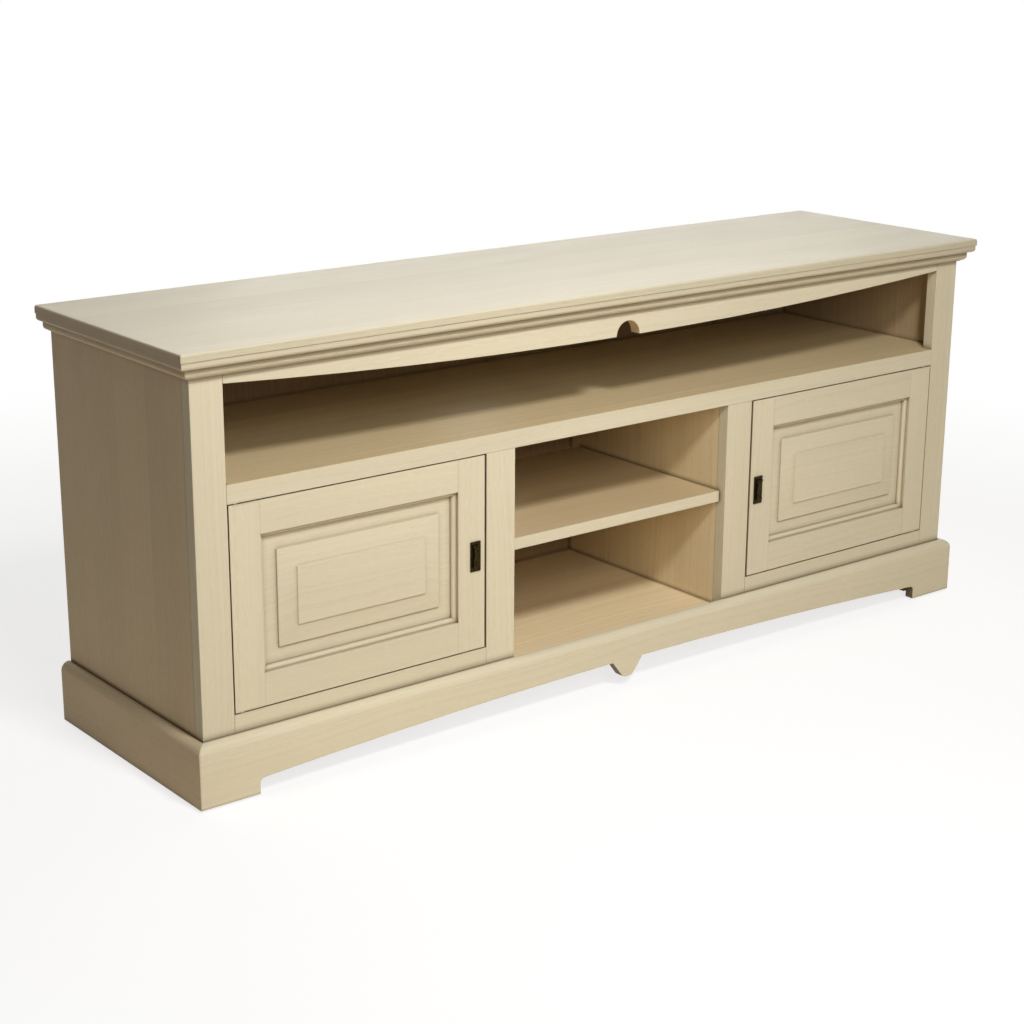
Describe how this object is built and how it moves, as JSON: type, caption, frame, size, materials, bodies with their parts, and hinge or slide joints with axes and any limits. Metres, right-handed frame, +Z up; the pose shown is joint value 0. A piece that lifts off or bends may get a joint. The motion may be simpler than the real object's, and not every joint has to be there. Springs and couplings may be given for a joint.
{
  "type": "tv cabinet",
  "caption": "Low limed-oak television cabinet with a moulded top, open upper compartment, raised-panel doors beside an open shelved bay, and an arched plinth.",
  "frame": {"origin": "on the floor, midway along the length and the depth", "axes": "+X along the cabinet to its right as seen from the front, +Y to the back, +Z up"},
  "size_m": [1.7, 0.455, 0.697],
  "materials": {
    "limed_oak": "whitewashed oak, open grain, matt",
    "oak_plywood": "thin oak-faced plywood, matt",
    "black_iron": "blackened iron, satin",
    "zinc_steel": "zinc-plated steel",
    "dark_plastic": "dark brown moulded plastic"
  },
  "bodies": {
    "carcass": {"back_panel": "oak_plywood", "back_screws": "zinc_steel", "bottom_panel": "limed_oak", "centre_shelf": "limed_oak", "centre_stile_left": "limed_oak", "centre_stile_right": "limed_oak", "corner_blocks": "limed_oak", "cornice_front": "limed_oak", "cornice_left": "limed_oak", "cornice_right": "limed_oak", "door_catches": "dark_plastic", "foot_glides": "dark_plastic", "frame_hinge_plates": "zinc_steel", "frame_hinge_screws": "zinc_steel", "lower_rail_centre": "limed_oak", "lower_rail_left": "limed_oak", "lower_rail_right": "limed_oak", "middle_rail": "limed_oak", "partition_left": "limed_oak", "partition_right": "limed_oak", "plinth_front": "limed_oak", "plinth_left": "limed_oak", "plinth_rear_rail": "limed_oak", "plinth_right": "limed_oak", "shelf_pins": "zinc_steel", "side_panel_left": "limed_oak", "side_panel_right": "limed_oak", "stile_left": "limed_oak", "stile_right": "limed_oak", "top_board": "limed_oak", "top_cleats": "limed_oak", "top_rail": "limed_oak", "top_screws": "zinc_steel", "upper_shelf": "limed_oak"},
    "door_left": {"door_left_bottom_rail": "limed_oak", "door_left_hinge_plates": "zinc_steel", "door_left_hinge_screws": "zinc_steel", "door_left_hinge_stile": "limed_oak", "door_left_lock_stile": "limed_oak", "door_left_panel": "limed_oak", "door_left_pull_bolt": "zinc_steel", "door_left_pull_pin": "black_iron", "door_left_pull_plate": "black_iron", "door_left_strike_plate": "zinc_steel", "door_left_top_rail": "limed_oak"},
    "door_right": {"door_right_bottom_rail": "limed_oak", "door_right_hinge_plates": "zinc_steel", "door_right_hinge_screws": "zinc_steel", "door_right_hinge_stile": "limed_oak", "door_right_lock_stile": "limed_oak", "door_right_panel": "limed_oak", "door_right_pull_bolt": "zinc_steel", "door_right_pull_pin": "black_iron", "door_right_pull_plate": "black_iron", "door_right_strike_plate": "zinc_steel", "door_right_top_rail": "limed_oak"},
    "pull_left": {"pull_tongue_left": "black_iron"},
    "pull_right": {"pull_tongue_right": "black_iron"}
  },
  "joints": [
    {"name": "door_left_swing", "type": "hinge", "parent": "carcass", "child": "door_left", "pos_m": [-0.754, -0.196, 0.297], "axis": [0, 0, -1], "range_deg": [0, 110]},
    {"name": "door_right_swing", "type": "hinge", "parent": "carcass", "child": "door_right", "pos_m": [0.754, -0.196, 0.297], "axis": [0, 0, 1], "range_deg": [0, 110]},
    {"name": "pull_left_lift", "type": "hinge", "parent": "door_left", "child": "pull_left", "pos_m": [-0.318, -0.2067, 0.311], "axis": [-1, 0, 0], "range_deg": [0, 80]},
    {"name": "pull_right_lift", "type": "hinge", "parent": "door_right", "child": "pull_right", "pos_m": [0.318, -0.2067, 0.311], "axis": [-1, 0, 0], "range_deg": [0, 80]}
  ]
}
